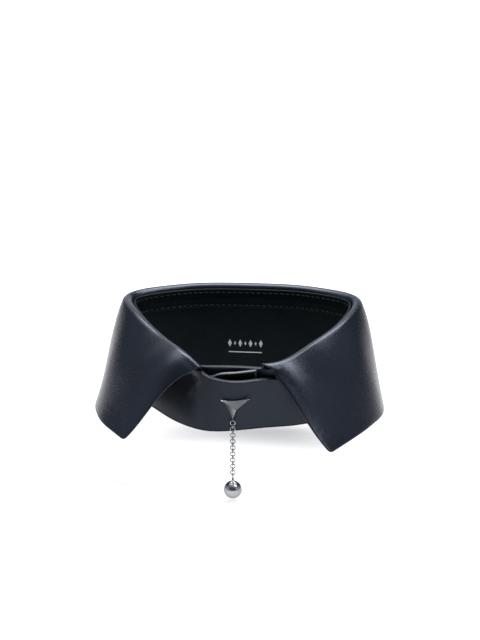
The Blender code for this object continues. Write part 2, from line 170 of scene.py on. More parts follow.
rowNames = list(standRows)
rowValues = np.array(list(standRows.values()))
topSteps = lengthOf(np.diff(rowValues[:, :2], axis=0))[:, 0]
standStations = np.concatenate([[0.0], np.cumsum(topSteps)])
stationOf = {name: float(at) for name, at in zip(rowNames, standStations)}
standLength = float(standStations[-1])
topCurve = easedCurve(standStations, rowValues[:, :3])
footCurve = easedCurve(standStations, rowValues[:, 3:])
leafStart = stationOf["leftStart"] - layers["leafReach"]
leafEnd = stationOf["rightStart"] + layers["leafReach"]
leafStations = np.array([leafStart] + [stationOf[name] for name in list(leafRows)[1:-1]] + [leafEnd])
leafEdgeCurve = easedCurve(leafStations, np.array(list(leafRows.values())))


def standFrame(at):
    # top points, foot points, direction up the wall, level direction outwards
    top = topCurve(at)
    foot = footCurve(at)
    along = unit((topCurve(at + 0.5) - topCurve(at - 0.5)) * (1.0, 1.0, 0.0))
    outward = np.stack([-along[:, 1], along[:, 0], np.zeros(len(at))], axis=-1)
    return top, foot, unit(top - foot), outward


def gridNormals(grid):
    return unit(np.cross(np.gradient(grid, axis=0), np.gradient(grid, axis=1)))


def standPoints(at, drops, offset=0.0):
    # points of the stand at stations and drops below its top edge, moved out from the outer leather's middle
    top, foot, up, _ = standFrame(at)
    grid = top[:, None] - up[:, None] * drops[:, :, None]
    beside = []
    for shift in (0.4, -0.4):
        nearTop, _, nearUp, _ = standFrame(at + shift)
        beside.append(nearTop[:, None] - nearUp[:, None] * drops[:, :, None])
    normals = unit(np.cross(beside[0] - beside[1], -up[:, None] * np.ones_like(grid)))
    return grid + normals * offset, normals


def rimOffsets(half):
    return half * (1.0 - np.cos(np.linspace(0.0, math.pi / 2, layers["rimSteps"] + 1)))


def stopsBetween(low, high, half, step):
    # stations or drops about a step apart, crowded at both ends where the edge is rounded
    rim = rimOffsets(half)
    count = max(2, round((high - low - 2 * half) / step))
    inner = np.linspace(low + half, high - half, count + 1)[1:-1]
    return np.concatenate([low + rim, inner, high - rim[::-1]])


def dropsBetween(start, end, half, step):
    # the same down every column, where start and end change from column to column
    rim = rimOffsets(half)
    count = max(2, round(float(np.max(end - start)) / step))
    share = np.linspace(0.0, 1.0, count + 1)[1:-1]
    inner = (start + half)[:, None] + (end - start - 2 * half)[:, None] * share
    return np.concatenate([start[:, None] + rim, inner, end[:, None] - rim[::-1]], axis=1)


def edgeDistances(grid):
    # from the first row, the last row, the first column and the last column, measured on the leather
    down = np.pad(np.cumsum(lengthOf(np.diff(grid, axis=1))[..., 0], axis=1), ((0, 0), (1, 0)))
    across = np.pad(np.cumsum(lengthOf(np.diff(grid, axis=0))[..., 0], axis=0), ((1, 0), (0, 0)))
    return down, down[:, -1:] - down, across, across[-1:] - across


def addObject(name, data):
    thing = bpy.data.objects.new(name, data)
    bpy.context.scene.collection.objects.link(thing)
    return thing


def addPiece(name, mesh, finishNames, body="collar", smooth=True):
    for finish in finishNames:
        mesh.materials.append(finishes[finish])
    if smooth:
        mesh.shade_smooth()
    piece = addObject(name, mesh)
    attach(piece, body)
    return piece


def finishedMesh(shape, name):
    # turns every face outwards and hands the shape over as a mesh
    bmesh.ops.recalc_face_normals(shape, faces=shape.faces)
    mesh = bpy.data.meshes.new(name)
    shape.to_mesh(mesh)
    shape.free()
    return mesh


def closedMesh(name, points, faces):
    shape = bmesh.new()
    corners = [shape.verts.new(point) for point in points]
    for face in faces:
        shape.faces.new([corners[i] for i in face])
    return finishedMesh(shape, name)


def leatherShell(name, grid, wall, finishNames, innerLift=None):
    # two skins half a wall either side of the grid, drawn together in a rounded edge all round
    columns, rows = grid.shape[:2]
    normals = gridNormals(grid)
    half = wall / 2
    roundness = np.ones((columns, rows))
    distances = edgeDistances(grid)
    for distance in distances:
        roundness *= np.sqrt(np.clip(1.0 - (1.0 - np.clip(distance / half, 0.0, 1.0)) ** 2, 0.0, 1.0))
    outer = grid + normals * (half * roundness)[:, :, None]
    inner = grid - normals * (half * roundness)[:, :, None]
    if innerLift is not None:
        inner = inner + normals * (innerLift * roundness)[:, :, None]
    index = np.arange(columns * rows).reshape(columns, rows)
    border = np.zeros((columns, rows), bool)
    border[0] = border[-1] = border[:, 0] = border[:, -1] = True
    counted = np.cumsum(~border.ravel()).reshape(columns, rows) - 1
    innerIndex = np.where(border, index, columns * rows + counted)
    points = np.concatenate([outer.reshape(-1, 3), inner[~border]]) * mm
    quads = []
    for skin, table in (("outer", index), ("inner", innerIndex)):
        a, b, c, d = table[:-1, :-1], table[1:, :-1], table[1:, 1:], table[:-1, 1:]
        corners = (a, b, c, d) if skin == "outer" else (d, c, b, a)
        quads.append(np.stack([corner.ravel() for corner in corners], axis=1))
    nearEdge = np.minimum.reduce(distances)
    rim = (nearEdge[:-1, :-1] + nearEdge[1:, 1:] < half * layers["rimPaint"]).ravel()
    slots = np.concatenate([np.where(rim, 2, 0), np.where(rim, 2, 1)])
    mesh = bpy.data.meshes.new(name)
    mesh.from_pydata(points.tolist(), [], np.concatenate(quads).tolist())
    piece = addPiece(name, mesh, finishNames)
    mesh.polygons.foreach_set("material_index", slots.astype(np.int32))
    return piece


leatherLook = {
    "leafLeather": dict(colour=(0.0068, 0.0085, 0.0135), shade=(0.0055, 0.0068, 0.0108),
                        rough=(0.23, 0.28), grain=0.55, grainDepth=0.016, poreDepth=0.005,
                        shine=0.45, sheen=(0.80, 0.92, 1.15)),
    "standLeather": dict(colour=(0.0068, 0.0085, 0.0135), shade=(0.0055, 0.0068, 0.0108),
                         rough=(0.28, 0.36), grain=0.55, grainDepth=0.030, poreDepth=0.015,
                         shine=0.29, sheen=(0.80, 0.92, 1.15)),
    "liningLeather": dict(colour=(0.0020, 0.0044, 0.0055), shade=(0.0011, 0.0027, 0.0036),
                          rough=(0.34, 0.48), grain=0.80, grainDepth=0.080, poreDepth=0.030,
                          shine=0.10, sheen=(0.80, 1.0, 1.1)),
    "tapeLeather": dict(colour=(0.0013, 0.0028, 0.0037), shade=(0.0008, 0.0019, 0.0026),
                        rough=(0.40, 0.54), grain=0.70, grainDepth=0.060, poreDepth=0.025,
                        shine=0.07, sheen=(0.80, 1.0, 1.1)),
}

# painted edges, thread, polished metal and foil
plainLook = {
    "edgePaint": dict(colour=(0.012, 0.014, 0.019), shade=(0.008, 0.010, 0.014), rough=(0.34, 0.48),
                      scale=1.2, shine=0.28, tint=(0.85, 0.95, 1.1)),
    "cutEdge": dict(colour=(0.010, 0.014, 0.017), shade=(0.005, 0.008, 0.010), rough=(0.45, 0.60),
                    scale=2.0, bumpDepth=0.03, shine=0.15, tint=(0.85, 0.95, 1.1)),
    "thread": dict(colour=(0.020, 0.025, 0.027), shade=(0.009, 0.012, 0.014), rough=(0.45, 0.65),
                   scale=6.0, bumpDepth=0.03, shine=0.2),
    "polishedMetal": dict(colour=(0.47, 0.47, 0.485), shade=(0.41, 0.41, 0.43), rough=(0.24, 0.31),
                          scale=0.7, metallic=1.0, bumpDepth=0.004, tint=(0.5, 0.5, 0.5)),
    "studMetal": dict(colour=(0.41, 0.42, 0.45), shade=(0.35, 0.36, 0.39), rough=(0.20, 0.26),
                      scale=0.9, metallic=1.0, bumpDepth=0.004, tint=(0.5, 0.5, 0.5)),
    "chainMetal": dict(colour=(0.31, 0.31, 0.32), shade=(0.25, 0.25, 0.26), rough=(0.26, 0.36),
                       scale=0.9, metallic=1.0, bumpDepth=0.004),
    "tabEdge": dict(colour=(0.030, 0.034, 0.040), shade=(0.020, 0.024, 0.030), rough=(0.30, 0.40),
                    scale=1.2, shine=0.62, tint=(0.92, 0.97, 1.05)),
    "silverFoil": dict(colour=(0.55, 0.55, 0.57), shade=(0.30, 0.30, 0.32), rough=(0.25, 0.45),
                       scale=3.0, metallic=1.0, bumpDepth=0.02),
}


def nodesOf(material):
    material.use_nodes = True
    tree = material.node_tree
    return tree, tree.nodes["Principled BSDF"]


def feed(tree, node, inputs):
    # links a socket or sets a fixed value
    for key, value in inputs.items():
        if isinstance(value, bpy.types.NodeSocket):
            tree.links.new(value, node.inputs[key])
        else:
            node.inputs[key].default_value = value


def addNode(tree, kind, inputs=None, **settings):
    node = tree.nodes.new(kind)
    for key, value in settings.items():
        setattr(node, key, value)
    feed(tree, node, inputs or {})
    return node


def rangeOf(tree, value, low, high, fromLow=0.0, fromHigh=1.0):
    inputs = {"Value": value, "From Min": fromLow, "From Max": fromHigh, "To Min": low, "To Max": high}
    return addNode(tree, "ShaderNodeMapRange", inputs).outputs["Result"]


def mathOf(tree, operation, *values):
    return addNode(tree, "ShaderNodeMath", dict(enumerate(values)), operation=operation).outputs["Value"]


def vectorOf(tree, operation, *values, result="Vector"):
    node = addNode(tree, "ShaderNodeVectorMath", dict(enumerate(values)), operation=operation)
    return node.outputs[result]


def mixOf(tree, factor, first, second):
    inputs = {"Factor": factor}
    for key, colour in (("A", first), ("B", second)):
        inputs[key] = colour if isinstance(colour, bpy.types.NodeSocket) else (*colour, 1.0)
    return addNode(tree, "ShaderNodeMix", inputs, data_type="RGBA").outputs["Result"]


def bumpOf(tree, height, depth, under=None):
    inputs = {"Height": height, "Distance": depth * mm, "Strength": 1.0}
    if under is not None:
        inputs["Normal"] = under
    return addNode(tree, "ShaderNodeBump", inputs).outputs["Normal"]


def noiseOf(tree, where, scale, detail):
    inputs = {"Vector": where, "Scale": scale, "Detail": detail}
    return addNode(tree, "ShaderNodeTexNoise", inputs).outputs["Fac"]


def cellsOf(tree, where, scale, feature):
    inputs = {"Vector": where, "Scale": scale}
    return addNode(tree, "ShaderNodeTexVoronoi", inputs, feature=feature).outputs["Distance"]


def spotOf(tree):
    # the place on the object, in millimetres
    return vectorOf(tree, "MULTIPLY", addNode(tree, "ShaderNodeTexCoord").outputs["Object"], (1 / mm,) * 3)


grainLook = {
    "cloudScale": 0.06,
    "mottleScale": 0.9,
    "poreShare": 0.45,  # how many cells of grain there are to a pore
    "valley": 0.12,  # how wide the valleys between the cells are
    "valleyLevel": 0.35,
    "valleyShade": 0.55,
    "cellTop": 0.18,
    "poreTop": 0.25,
}


def leatherFinish(name, look):
    grain = grainLook
    material = bpy.data.materials.new(name)
    tree, shader = nodesOf(material)
    spot = spotOf(tree)
    cloudy = noiseOf(tree, spot, grain["cloudScale"], 3.0)
    mottle = noiseOf(tree, spot, grain["mottleScale"], 4.0)
    cells = cellsOf(tree, spot, 1.0 / look["grain"], "DISTANCE_TO_EDGE")
    pores = cellsOf(tree, spot, grain["poreShare"] / look["grain"], "F1")
    # colour: slow clouds, with the valleys of the grain a little darker
    tone = mixOf(tree, rangeOf(tree, cloudy, 0.0, 1.0, 0.35, 0.65), look["colour"], look["shade"])
    valley = rangeOf(tree, cells, grain["valleyLevel"], 0.0, 0.0, grain["valley"])
    skin = mixOf(tree, valley, tone, [c * grain["valleyShade"] for c in look["shade"]])
    cellHeight = rangeOf(tree, cells, 0.0, 1.0, 0.0, grain["cellTop"])
    poreHeight = rangeOf(tree, pores, 0.0, 1.0, 0.0, grain["poreTop"])
    cellBump = bumpOf(tree, cellHeight, look["grainDepth"])
    feed(tree, shader, {
        "Base Color": skin,
        "Roughness": rangeOf(tree, mottle, *look["rough"], 0.3, 0.7),
        "Normal": bumpOf(tree, poreHeight, look["poreDepth"], cellBump),
        "Specular IOR Level": look["shine"],
        "Specular Tint": (*look["sheen"], 1.0),
    })
    return material


def plainFinish(name, colour, shade, rough, scale, metallic=0.0, bumpDepth=0.01, shine=0.5,
                tint=(1.0, 1.0, 1.0)):
    # two near colours, a roughness that changes and a fine bump
    material = bpy.data.materials.new(name)
    tree, shader = nodesOf(material)
    cloud = noiseOf(tree, spotOf(tree), scale, 4.0)
    feed(tree, shader, {
        "Base Color": mixOf(tree, rangeOf(tree, cloud, 0.0, 1.0, 0.3, 0.7), colour, shade),
        "Roughness": rangeOf(tree, cloud, *rough, 0.3, 0.7),
        "Normal": bumpOf(tree, cloud, bumpDepth),
        "Metallic": metallic,
        "Specular Tint": (*tint, 1.0),
        "Specular IOR Level": shine,
    })
    return material


finishes = {name: leatherFinish(name, look) for name, look in leatherLook.items()}
finishes.update({name: plainFinish(name, **look) for name, look in plainLook.items()})
print("finishes made")

standLook = {
    "columnStep": 1.0,
    "rowStep": 1.0,
    "seamFade": 3.0,  # how fast the lining's top steps down to clear the leaf's sewn edge
    # where the stand is pinched in under the left leaf: stations past the leaf's row from which it sinks,
    # is sunk, rises and is level again, drops where it starts, is deepest and ends, and its depth
    "pinch": dict(start=-6.0, full=5.0, rising=30.0, level=45.0, top=0.4, deepest=6.5, end=36.0, depth=3.4),
    # creases there: station past the leaf's row, drop, lean in degrees, length, width and height
    "creases": (
        (1.8, 4.2, 50.0, 3.2, 0.7, 0.9),
        (5.0, 5.6, 50.0, 3.6, 0.7, 1.1),
        (8.2, 7.6, 50.0, 3.6, 0.7, 0.9),
        (-2.0, 6.5, 62.0, 4.0, 1.0, 0.4),
        (3.2, 15.0, 70.0, 5.0, 1.4, 0.7),
    ),
}


def eased(value, low, high):
    t = np.clip((value - low) / (high - low), 0.0, 1.0)
    return t * t * (3.0 - 2.0 * t)


def creaseLift(at, drops, look):
    origin = stationOf["leftStart"]
    pinch = look["pinch"]
    past = at - origin
    sunk = eased(past, pinch["start"], pinch["full"]) * (1.0 - eased(past, pinch["rising"], pinch["level"]))
    down = eased(drops, pinch["top"], pinch["deepest"])
    down = down * (1.0 - eased(drops, pinch["deepest"], pinch["end"]))
    lift = -pinch["depth"] * sunk[:, None] * down
    for start, drop, lean, length, width, height in look["creases"]:
        along = (at - origin - start)[:, None] * np.ones_like(drops)
        down = drops - drop
        c, s = math.cos(math.radians(lean)), math.sin(math.radians(lean))
        run = (along * c + down * s) / length
        side = (-along * s + down * c) / width
        lift += height * np.exp(-(run**2) - side**2)
    return lift


def makeStand(look):
    at = stopsBetween(0.0, standLength, layers["band"] / 2, look["columnStep"])
    top, foot, _, _ = standFrame(at)
    height = lengthOf(top - foot)[:, 0]
    drops = dropsBetween(np.zeros(len(at)), height, layers["band"] / 2, look["rowStep"])
    lift = creaseLift(at, drops, look)
    grid, normals = standPoints(at, drops)
    outer = leatherShell("standLeather", grid + normals * lift[:, :, None], layers["band"],
                         ["standLeather", "standLeather", "edgePaint"])
    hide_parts("neck_band")
    return outer


def makeLining(look):
    half = layers["lining"] / 2
    at = stopsBetween(0.0, standLength, half, look["columnStep"])
    top, foot, _, _ = standFrame(at)
    height = lengthOf(top - foot)[:, 0]
    low = leafStart - 2 * layers["seamGap"]
    high = leafEnd + 2 * layers["seamGap"]
    inside = np.clip(np.minimum(at - low, high - at) / look["seamFade"] + 1.0, 0.0, 1.0)
    start = inside * (layers["sewnDepth"] + layers["seamGap"])
    drops = dropsBetween(start, height, half, look["rowStep"])
    grid, normals = standPoints(at, drops, liningOffset)
    grid = grid + normals * np.minimum(creaseLift(at, drops, look), 0.0)[:, :, None]
    lining = leatherShell("standLining", grid, layers["lining"],
                          ["liningLeather", "liningLeather", "edgePaint"])
    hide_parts("neck_lining")
    return lining


leafLook = {
    "columnStep": 1.2,
    "fallStep": 1.6,
    "rollSteps": 18,
    "stripStep": 1.0,
    "stripStart": 0.2,  # how far below the roll the sewn strip's first row lies at least
    "tipRounding": 3.0,
    "lead": 0.3,  # how long the fall keeps the roll's direction, as a share of its depth
    "lateLead": 0.67,
    "swellStart": 4.0,  # the swells are full a quarter of the way down
    # soft swells of the fall: station name, station past it, share of the fall, reach along and down, height
    "swells": (
        ("leftFront", -6.0, 0.45, 16.0, 0.22, 0.5),
        ("leftSide", 8.0, 0.60, 20.0, 0.25, 0.4),
        ("leftBack", 10.0, 0.50, 18.0, 0.30, -0.4),
        ("rightBack", -6.0, 0.55, 20.0, 0.25, 0.4),
        ("rightSide", -4.0, 0.50, 18.0, 0.25, -0.4),
        ("rightFront", 8.0, 0.40, 14.0, 0.20, 0.5),
    ),
}


def leafGrid(at, look):
    # middle of the leaf: the sewn strip, the roll over the stand, and the fall to the free edge
    half = layers["leaf"] / 2
    radius = layers["rollRadius"]
    top, _, up, outward = standFrame(at)
    edge = leafEdgeCurve(at)
    centre = top + outward * rollOffset
    reach = edge[:, :3] - centre
    level = reach * (1.0, 1.0, 0.0)
    direction = unit(level)
    facing = (direction * outward).sum(axis=1)
    across = direction / facing[:, None]
    reachOut = lengthOf(level)[:, 0] * facing
    reachUp = reach[:, 2]
    upward = np.array((0.0, 0.0, 1.0))
    lean = (up * outward).sum(axis=1)
    firstAngle = math.pi - np.arctan2(lean, up[:, 2])
    far = np.hypot(reachOut, reachUp)
    shoulder = math.radians(layers["shoulderRest"]) * np.ones(len(at))
    for past, steep, curl in zip((at - leafStart, leafEnd - at), layers["shoulders"], layers["curls"]):
        shoulder += math.radians(steep) * np.exp(-((past / layers["shoulderReach"]) ** 2))
        shoulder += math.radians(curl) * np.exp(-((past / layers["curlReach"]) ** 2))
    lastAngle = np.arctan2(reachUp, reachOut) + np.arccos(radius / far) + shoulder

    rollRows = []
    for step in range(look["rollSteps"] + 1):
        angle = firstAngle + (lastAngle - firstAngle) * step / look["rollSteps"]
        out = radius * np.cos(angle)
        rise = radius * np.sin(angle)
        turned = (1.0 + np.cos(angle)) / (1.0 + np.cos(lastAngle))
        swing = outward + (across - outward) * turned[:, None]
        rollRows.append(centre + swing * out[:, None] + upward * rise[:, None])
    stripDrops = layers["sewnDepth"] - stopsBetween(0.0, 2 * layers["sewnDepth"], half, look["stripStep"])
    stripRows = [rollRows[0] - up * drop for drop in stripDrops if drop > look["stripStart"]]

    fallOut = reachOut - out
    fallUp = reachUp - rise
    length = np.hypot(fallOut, fallUp)
    leadOut = np.sin(lastAngle) * length * look["lead"]
    leadUp = -np.cos(lastAngle) * length * look["lead"]
    distances = dropsBetween(-half * np.ones(len(at)), length, half, look["fallStep"])
    distances = distances[:, layers["rimSteps"] + 1:]
    forward = np.stack([outward[:, 1], -outward[:, 0], np.zeros(len(at))], axis=-1)
    bow = layers["frontBows"][1] * np.exp(-(((leafEnd - at) / layers["bowReach"]) ** 2))
    bow -= layers["frontBows"][0] * np.exp(-(((at - leafStart) / layers["bowReach"]) ** 2))
    fullSwell = 27 / 4  # t * t * (1 - t) is 4/27 at its highest
    fallRows = []
    for j in range(distances.shape[1]):
        t = distances[:, j] / length
        swell = fullSwell * edge[:, 3] * t * t * (1.0 - t)
        for name, past, share, reachAlong, reachDown, height in look["swells"]:
            near = ((at - stationOf[name] - past) / reachAlong) ** 2 + ((t - share) / reachDown) ** 2
            swell = swell + height * np.exp(-near) * np.minimum(1.0, t * look["swellStart"]) ** 2
        early, late = 3 * t * (1.0 - t) ** 2, t * t * (3 * (1.0 - t) * look["lateLead"] + t)
        ahead = (bow * eased(t, 0.0, layers["bowStart"]) * (1.0 - t))[:, None]
        acrossNow = out + early * leadOut + late * fallOut - swell * fallUp / length
        upNow = rise + early * leadUp + late * fallUp + swell * fallOut / length
        fallRows.append(centre + across * acrossNow[:, None] + upward * upNow[:, None] + forward * ahead)
    return np.stack(stripRows + rollRows + fallRows, axis=1)


def roundTip(grid, atStart, radius):
    # draws the free corner of the leaf in, so that the point is a small round and not a sharp corner
    view = grid if atStart else grid[::-1]
    down, fromFoot, across, _ = edgeDistances(view)
    inDown = unit(np.gradient(view, axis=1)) * -1.0
    inAcross = unit(np.gradient(view, axis=0))
    u = np.clip(1.0 - across / radius, 0.0, 1.0)
    v = np.clip(1.0 - fromFoot / radius, 0.0, 1.0)
    moveAcross = radius * (u - u * np.sqrt(1.0 - v * v / 2))
    moveDown = radius * (v - v * np.sqrt(1.0 - u * u / 2))
    moved = view + inAcross * moveAcross[:, :, None] + inDown * moveDown[:, :, None]
    return moved if atStart else moved[::-1]


def makeLeaf(look):
    at = stopsBetween(leafStart, leafEnd, layers["leaf"] / 2, look["columnStep"])
    grid = leafGrid(at, look)
    grid = roundTip(roundTip(grid, True, look["tipRounding"]), False, look["tipRounding"])
    leaf = leatherShell("leafLeather", grid, layers["leaf"], ["leafLeather", "leafLeather", "edgePaint"])
    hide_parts("collar_leaf")
    return leaf


tapeLook = {
    "columnStep": 1.2,
    "rowStep": 0.5,
    "stitchRows": (1.6, 9.2),  # drops below the stand's top edge
    "grooveDepth": 0.22,
    "grooveWidth": 0.7,
    "ridgeHeight": 0.25,
    "ridgeWidth": 1.2,
    "stitchPitch": 3.4,
    "stitchLength": 2.5,
    "stitchRadius": 0.30,
    "stitchLean": 7.0,
    "stitchArch": (0.75, 1.3),  # rise in the middle and fall to the holes, in radii
    "stitchTaper": 0.75,
    "stitchRings": 7,
    "stitchSides": 8,
    "endInset": 3.0,  # how far the tape stops short of the leaf's rows, and its stitches
    "stitchInset": 4.0,
}


def tapeInnerLift(drops, look):
    # the inner face sinks at the two rows of stitches and is full between them
    lift = np.zeros(drops.shape)
    for row in look["stitchRows"]:
        lift += look["grooveDepth"] * np.exp(-(((drops - row) / look["grooveWidth"]) ** 2))
    middle = sum(look["stitchRows"]) / 2
    lift -= look["ridgeHeight"] * np.exp(-(((drops - middle) / look["ridgeWidth"]) ** 2))
    return lift


def makeTape(look):
    half = layers["tape"] / 2
    first = stationOf["leftStart"] + look["endInset"]
    at = stopsBetween(first, stationOf["rightStart"] - look["endInset"], half, look["columnStep"])
    ones = np.ones(len(at))
    drops = dropsBetween(-layers["tapeRise"] * ones, (layers["tapeWidth"] - layers["tapeRise"]) * ones, half,
                         look["rowStep"])
    grid, _ = standPoints(at, drops, tapeOffset)
    tape = leatherShell("foldTape", grid, layers["tape"], ["tapeLeather", "tapeLeather", "cutEdge"],
                        innerLift=tapeInnerLift(drops, look))
    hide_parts("neck_tape")
    return tape


def tubeFaces(faces, start, rings, sides):
    # the skin of a tube whose points come ring by ring, closed at both ends
    for i in range(rings - 1):
        for j in range(sides):
            a = start + i * sides + j
            b = start + i * sides + (j + 1) % sides
            faces.append((a, b, b + sides, a + sides))
    faces.append(tuple(start + j for j in reversed(range(sides))))
    faces.append(tuple(start + (rings - 1) * sides + j for j in range(sides)))


def makeStitches(look):
    # one thread mesh: short capsules that rise out of the groove and dive back in at each hole
    rings, sides = look["stitchRings"], look["stitchSides"]
    arch, dive = look["stitchArch"]
    points, faces = [], []
    first = stationOf["leftStart"] + look["stitchInset"]
    last = stationOf["rightStart"] - look["stitchInset"]
    face = tapeOffset - layers["tape"] / 2 + look["grooveDepth"]
    for row in look["stitchRows"]:
        count = int((last - first) / look["stitchPitch"])
        for k in range(count):
            middle = first + (k + 0.5) * look["stitchPitch"]
            share = np.linspace(-1.0, 1.0, rings)
            at = middle + share * look["stitchLength"] / 2
            slope = math.tan(math.radians(look["stitchLean"]))
            drops = (row + share * look["stitchLength"] / 2 * slope)[:, None]
            spine, normals = standPoints(at, drops, face)
            spine, normals = spine[:, 0], normals[:, 0]
            rise = look["stitchRadius"] * (arch - dive * share**4)
            spine = spine - normals * rise[:, None]
            along = unit(np.gradient(spine, axis=0))
            side = unit(np.cross(along, normals))
            over = np.cross(side, along)
            radius = look["stitchRadius"] * np.sqrt(np.clip(1.0 - look["stitchTaper"] * share**6, 0.0, 1.0))
            start = len(points)
            for i in range(rings):
                for j in range(sides):
                    angle = 2 * math.pi * j / sides
                    reach = side[i] * math.cos(angle) + over[i] * math.sin(angle)
                    points.append(tuple((spine[i] + reach * radius[i]) * mm))
            tubeFaces(faces, start, rings, sides)
    mesh = bpy.data.meshes.new("tapeStitches")
    mesh.from_pydata(points, [], faces)
    return addPiece("tapeStitches", mesh, ["thread"])


tabLook = {
    "wall": 3.2,
    "step": 0.7,
    "curl": 0.5,
    "curlDeep": 3.2,
    "curlFrom": (-13.0, -5.0),
    # x, top y, top z, foot y, foot z
    "rows": {
        "root": (-15.0, -46.6, 32.0, -46.9, 19.0),
        "dip": (-10.8, -48.0, 31.4, -48.1, 19.0),
        "lip": (-6.5, -48.8, 33.2, -48.8, 19.0),
        "middle": (3.2, -48.7, 34.4, -48.1, 20.0),
        "squareEnd": (14.4, -48.1, 36.0, -46.9, 21.0),
    },
}


def makeTab(look):
    rows = np.array(list(look["rows"].values()))
    half = look["wall"] / 2
    sides = stopsBetween(rows[0, 0], rows[-1, 0], half, look["step"])[::-1]
    table = throughRows(rows[:, 0], rows, sides)
    top, foot = table[:, :3], table[:, (0, 3, 4)]
    height = lengthOf(top - foot)[:, 0]
    drops = dropsBetween(np.zeros(len(sides)), height, half, look["step"])
    grid = top[:, None] - unit(top - foot)[:, None] * drops[:, :, None]
    # its top edge curls back
    curl = look["curl"] * eased(sides, *look["curlFrom"])[:, None]
    grid[:, :, 1] += curl * (1.0 - eased(drops, 0.0, look["curlDeep"]))
    tab = leatherShell("closureTab", grid, look["wall"], ["tapeLeather", "tapeLeather", "tabEdge"])
    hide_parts("closure_tab")
    return tab


edgeLook = {
    "over": 0.08,  # how far the paint stands off each face
    "crest": 0.40,
    "crestSteps": 8,
    "lap": 0.55,
    "bite": 0.8,  # share of that standoff which the laps are thick
    "floor": 0.04,
    "step": 1.2,
    "endSteps": 30,
    "clear": 0.4,  # gap left to the leaf's ends
}


def edgeBead(points, faces, spine, faceDirection, outDirection, halfWidth, look):
    # a strip of paint with a rounded crest along one edge of the two layers, its faces lapped a little
    profile = [(1.0, -look["lap"])]
    for k in range(look["crestSteps"] + 1):
        angle = math.pi * k / look["crestSteps"]
        profile.append((math.cos(angle), look["crest"] * math.sin(angle)))
    profile.append((-1.0, -look["lap"]))
    thin = 1.0 - look["over"] / halfWidth * look["bite"]
    profile += [(-thin, -look["lap"]), (-thin, look["floor"]), (thin, look["floor"]), (thin, -look["lap"])]
    start = len(points)
    for centre, side, out in zip(spine, faceDirection, outDirection):
        for wide, high in profile:
            points.append(tuple((centre + side * wide * halfWidth + out * high) * mm))
    tubeFaces(faces, start, len(spine), len(profile))


def makeEdgePaint(look):
    # the painted edge covers outer leather and lining together: foot, both ends and the free top edges
    halfWidth = (layers["band"] + layers["seamGap"] + layers["lining"]) / 2 + look["over"]
    middle = (layers["band"] / 2 + liningOffset - layers["lining"] / 2) / 2
    points, faces = [], []
    runs = (
        (0.0, standLength, "foot"),
        (0.0, leafStart - look["clear"], "top"),
        (leafEnd + look["clear"], standLength, "top"),
    )
    for low, high, place in runs:
        at = np.linspace(low, high, max(3, round((high - low) / look["step"])))
        top, foot, up, _ = standFrame(at)
        height = lengthOf(top - foot)
        drops = height if place == "foot" else np.zeros_like(height)
        spine, normals = standPoints(at, drops, middle)
        out = -up if place == "foot" else up
        edgeBead(points, faces, spine[:, 0], normals[:, 0], out, halfWidth, look)
    for station, sign in ((0.0, -1.0), (standLength, 1.0)):
        at = np.array([station, station + 0.01])
        top, foot, _, _ = standFrame(at)
        height = float(lengthOf(top - foot)[0, 0])
        drops = np.linspace(0.0, height, look["endSteps"])[None, :] * np.ones((2, 1))
        spine, normals = standPoints(at, drops, middle)
        out = unit(spine[1] - spine[0]) * sign
        edgeBead(points, faces, spine[0], normals[0], out, halfWidth, look)
    mesh = closedMesh("standEdgePaint", points, faces)
    return addPiece("standEdgePaint", mesh, ["edgePaint"])


ornamentLook = {
    "middle": (-1.5, 17.0),  # x, z on the lining at the back
    "count": 7,
    "pitch": 3.1,
    "width": 2.3,
    "tall": 4.6,
    "small": 0.55,
    "ruleDrop": 5.6,
    "ruleWidth": 20.0,
    "ruleTall": 0.55,
    "ruleSteps": 12,
    "foil": 0.05,
    "sink": 0.02,  # how deep the foil is pressed in
}


def foilPatch(points, faces, outline, look):
    # a thin closed patch of foil on the lining: outline is (x, z) pairs round it
    at = stationOf["centreBack"] + np.array([p[0] for p in outline])
    top, _, up, _ = standFrame(at)
    drops = ((top[:, 2] - np.array([p[1] for p in outline])) / up[:, 2])[:, None]
    face = liningOffset - layers["lining"] / 2
    low, normals = standPoints(at, drops, face + look["sink"])
    low, normals = low[:, 0], normals[:, 0]
    high = low - normals * (look["foil"] + look["sink"])
    start = len(points)
    count = len(outline)
    points.extend(tuple(p * mm) for p in low)
    points.extend(tuple(p * mm) for p in high)
    faces.append(tuple(start + i for i in range(count)))
    faces.append(tuple(start + count + i for i in reversed(range(count))))
    for i in range(count):
        j = (i + 1) % count
        faces.append((start + j, start + i, start + count + i, start + count + j))


def makeOrnament(look):
    # a plain row of lozenges, large and small by turns, over a fine rule
    points, faces = [], []
    x, z = look["middle"]
    for k in range(look["count"]):
        scale = 1.0 if k % 2 == 0 else look["small"]
        centre = x + (k - (look["count"] - 1) / 2) * look["pitch"]
        wide, tall = look["width"] / 2 * scale, look["tall"] / 2 * scale
        lozenge = [(centre - wide, z), (centre, z - tall), (centre + wide, z), (centre, z + tall)]
        foilPatch(points, faces, lozenge, look)
    bottom = z - look["ruleDrop"]
    top = bottom + look["ruleTall"]
    for k in range(look["ruleSteps"]):
        low = x - look["ruleWidth"] / 2 + look["ruleWidth"] * k / look["ruleSteps"]
        high = low + look["ruleWidth"] / look["ruleSteps"]
        foilPatch(points, faces, [(low, bottom), (high, bottom), (high, top), (low, top)], look)
    mesh = closedMesh("liningFoil", points, faces)
    return addPiece("liningFoil", mesh, ["silverFoil"], smooth=False)


stand = makeStand(standLook)
lining = makeLining(standLook)
leaf = makeLeaf(leafLook)
tape = makeTape(tapeLook)
tab = makeTab(tabLook)
print("leather pieces made")
stitches = makeStitches(tapeLook)
makeEdgePaint(edgeLook)
foil = makeOrnament(ornamentLook)
print("stitches, edge paint and foil made")

